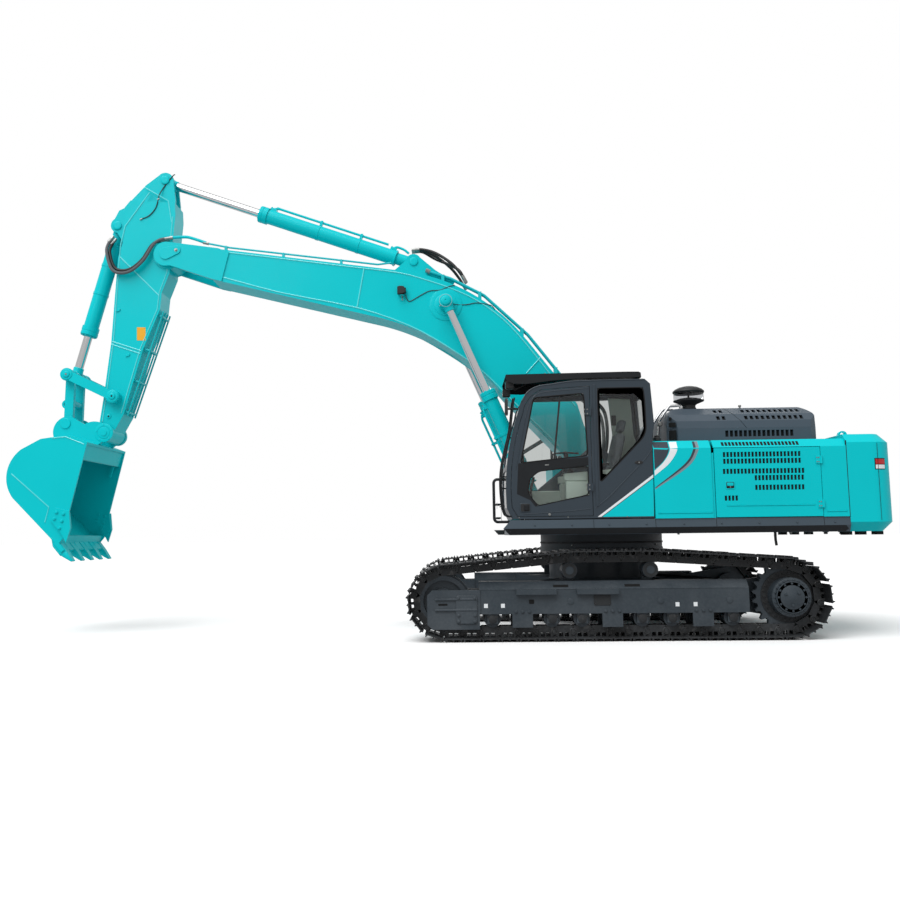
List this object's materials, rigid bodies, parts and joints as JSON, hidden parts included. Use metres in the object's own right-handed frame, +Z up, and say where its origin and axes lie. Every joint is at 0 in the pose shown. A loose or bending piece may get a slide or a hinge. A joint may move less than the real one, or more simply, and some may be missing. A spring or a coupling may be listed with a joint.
{
  "type": "crawler excavator",
  "caption": "Full-size crawler excavator with a slewing house, cab, boom, arm and bucket on two long tracks.",
  "frame": {"origin": "on the ground under the middle of the machine's overall length and width, tracks standing on z = 0", "axes": "+X towards the counterweight, -X towards the bucket, -Y the left side with the cab, +Z up"},
  "size_m": [11.3017, 3.2, 6.3712],
  "materials": {
    "teal_paint": "gloss",
    "cab_paint": "satin",
    "grey_paint": "satin",
    "skirt_paint": "satin",
    "frame_paint": "satin",
    "track_steel": "rough",
    "chrome": "polished",
    "glass": "clear",
    "dark_plastic": "matte",
    "trim_plastic": "matte",
    "cast_iron": "rough"
  },
  "bodies": {
    "undercarriage": {"centre_frame": "frame_paint", "swing_bearing": "frame_paint", "track_frame_left": "frame_paint", "track_frame_right": "frame_paint", "track_left": "track_steel", "track_right": "track_steel", "idlers": "frame_paint", "sprockets": "frame_paint", "bottom_rollers": "frame_paint", "carrier_rollers": "frame_paint"},
    "house": {"upper_frame": "skirt_paint", "side_skirts": "skirt_paint", "counterweight": "teal_paint", "engine_block": "cast_iron", "body_panels": "teal_paint", "left_front_panel": "teal_paint", "hydraulic_tank": "teal_paint", "fuel_tank": "teal_paint", "tool_box": "teal_paint", "hood_base": "grey_paint", "hood_front": "grey_paint", "pre_cleaner": "dark_plastic", "cab_shell": "cab_paint", "cab_floor": "cab_paint", "cab_left_frame": "cab_paint", "hood_rails": "chrome", "right_rails": "frame_paint", "mirrors": "dark_plastic", "work_lamps": "dark_plastic", "cab_glass": "glass", "roof_guard": "cab_paint", "cab_interior": "trim_plastic", "handrails": "frame_paint"},
    "hood": {"exhaust_pipe": "cast_iron", "hood": "grey_paint"},
    "boom": {"boom_pipes": "teal_paint", "boom": "teal_paint", "boom_lamp": "dark_plastic"},
    "arm": {"arm_guard": "teal_paint", "arm": "teal_paint"},
    "side_door_left": {"side_door_left": "teal_paint"},
    "side_door_right": {"side_door_right": "teal_paint"},
    "cab_door": {"cab_door": "cab_paint", "door_glass": "glass"},
    "boom_cylinder_barrels": {"boom_cylinder_barrels": "teal_paint"},
    "boom_cylinder_rods": {"boom_cylinder_rods": "chrome"},
    "arm_cylinder_barrel": {"arm_cylinder_barrel": "teal_paint"},
    "arm_cylinder_rod": {"arm_cylinder_rod": "chrome"},
    "bucket_cylinder_barrel": {"bucket_cylinder_barrel": "teal_paint"},
    "bucket_cylinder_rod": {"bucket_cylinder_rod": "chrome"},
    "rocker_links": {"rocker_links": "teal_paint"},
    "bucket_link": {"bucket_link": "teal_paint"},
    "bucket": {"bucket": "teal_paint"}
  },
  "joints": [
    {"name": "swing", "type": "hinge", "parent": "undercarriage", "child": "house", "pos_m": [2.137, 0, 1.231], "axis": [0, 0, 1], "continuous": true},
    {"name": "boom_lift", "type": "hinge", "parent": "house", "child": "boom", "pos_m": [2.037, 0, 2.18], "axis": [0, 1, 0], "range_deg": [-75, 33]},
    {"name": "boom_cylinder_swing", "type": "hinge", "parent": "house", "child": "boom_cylinder_barrels", "pos_m": [1.274, 0, 1.65], "axis": [0, 1, 0], "range_deg": [-80.11, 35.25]},
    {"name": "boom_cylinder_stroke", "type": "slide", "parent": "boom_cylinder_barrels", "child": "boom_cylinder_rods", "axis": [-0.3952, 0, 0.9186], "range_m": [-1.0032, 0.4414]},
    {"name": "arm_curl", "type": "hinge", "parent": "boom", "child": "arm", "pos_m": [-3.745, 0, 5.149], "axis": [0, -1, 0], "range_deg": [-70, 36]},
    {"name": "arm_cylinder_swing", "type": "hinge", "parent": "boom", "child": "arm_cylinder_barrel", "pos_m": [-0.323, 0, 5], "axis": [0, -1, 0], "range_deg": [-2.61, 1.34]},
    {"name": "arm_cylinder_stroke", "type": "slide", "parent": "arm_cylinder_barrel", "child": "arm_cylinder_rod", "axis": [-0.941, 0, 0.3383], "range_m": [-1.2159, 0.6253]},
    {"name": "bucket_curl", "type": "hinge", "parent": "arm", "child": "bucket", "pos_m": [-4.544, 0, 2.67], "axis": [0, -1, 0], "range_deg": [-30, 130]},
    {"name": "rocker_swing", "type": "hinge", "parent": "arm", "child": "rocker_links", "pos_m": [-4.425, 0, 3.162], "axis": [0, -1, 0], "range_deg": [-20.48, 88.75]},
    {"name": "link_swing", "type": "hinge", "parent": "rocker_links", "child": "bucket_link", "pos_m": [-5.062, 0, 3.475], "axis": [0, -1, 0], "range_deg": [-42.55, 9.82]},
    {"name": "bucket_cylinder_swing", "type": "hinge", "parent": "arm", "child": "bucket_cylinder_barrel", "pos_m": [-4.482, 0, 5.611], "axis": [0, -1, 0], "range_deg": [-1.7, 7.38]},
    {"name": "bucket_cylinder_stroke", "type": "slide", "parent": "bucket_cylinder_barrel", "child": "bucket_cylinder_rod", "axis": [-0.262, 0, -0.9651], "range_m": [-0.2122, 0.9194]},
    {"name": "cab_door_hinge", "type": "hinge", "parent": "house", "child": "cab_door", "pos_m": [1.839, -1.4833, 2.2], "axis": [0, 0, 1], "range_deg": [0, 165]},
    {"name": "hood_hinge", "type": "hinge", "parent": "house", "child": "hood", "pos_m": [4.646, 0, 2.513], "axis": [0, 1, 0], "range_deg": [0, 60]},
    {"name": "side_door_left_hinge", "type": "hinge", "parent": "house", "child": "side_door_left", "pos_m": [4.533, -1.5033, 1.8], "axis": [0, 0, 1], "range_deg": [0, 110]},
    {"name": "side_door_right_hinge", "type": "hinge", "parent": "house", "child": "side_door_right", "pos_m": [4.533, 1.5033, 1.8], "axis": [0, 0, -1], "range_deg": [0, 110]}
  ],
  "couplings": [
    {"joint": "boom_cylinder_swing", "follows": "boom_lift", "ratio": 1.0575},
    {"joint": "boom_cylinder_stroke", "follows": "boom_lift", "m_per_rad": 0.7588},
    {"joint": "arm_cylinder_swing", "follows": "arm_curl", "ratio": 0.0369},
    {"joint": "arm_cylinder_stroke", "follows": "arm_curl", "m_per_rad": 0.9854},
    {"joint": "rocker_swing", "follows": "bucket_curl", "ratio": 0.6759},
    {"joint": "link_swing", "follows": "bucket_curl", "ratio": -0.3241},
    {"joint": "bucket_cylinder_swing", "follows": "bucket_curl", "ratio": 0.0562},
    {"joint": "bucket_cylinder_stroke", "follows": "bucket_curl", "m_per_rad": 0.4012}
  ]
}
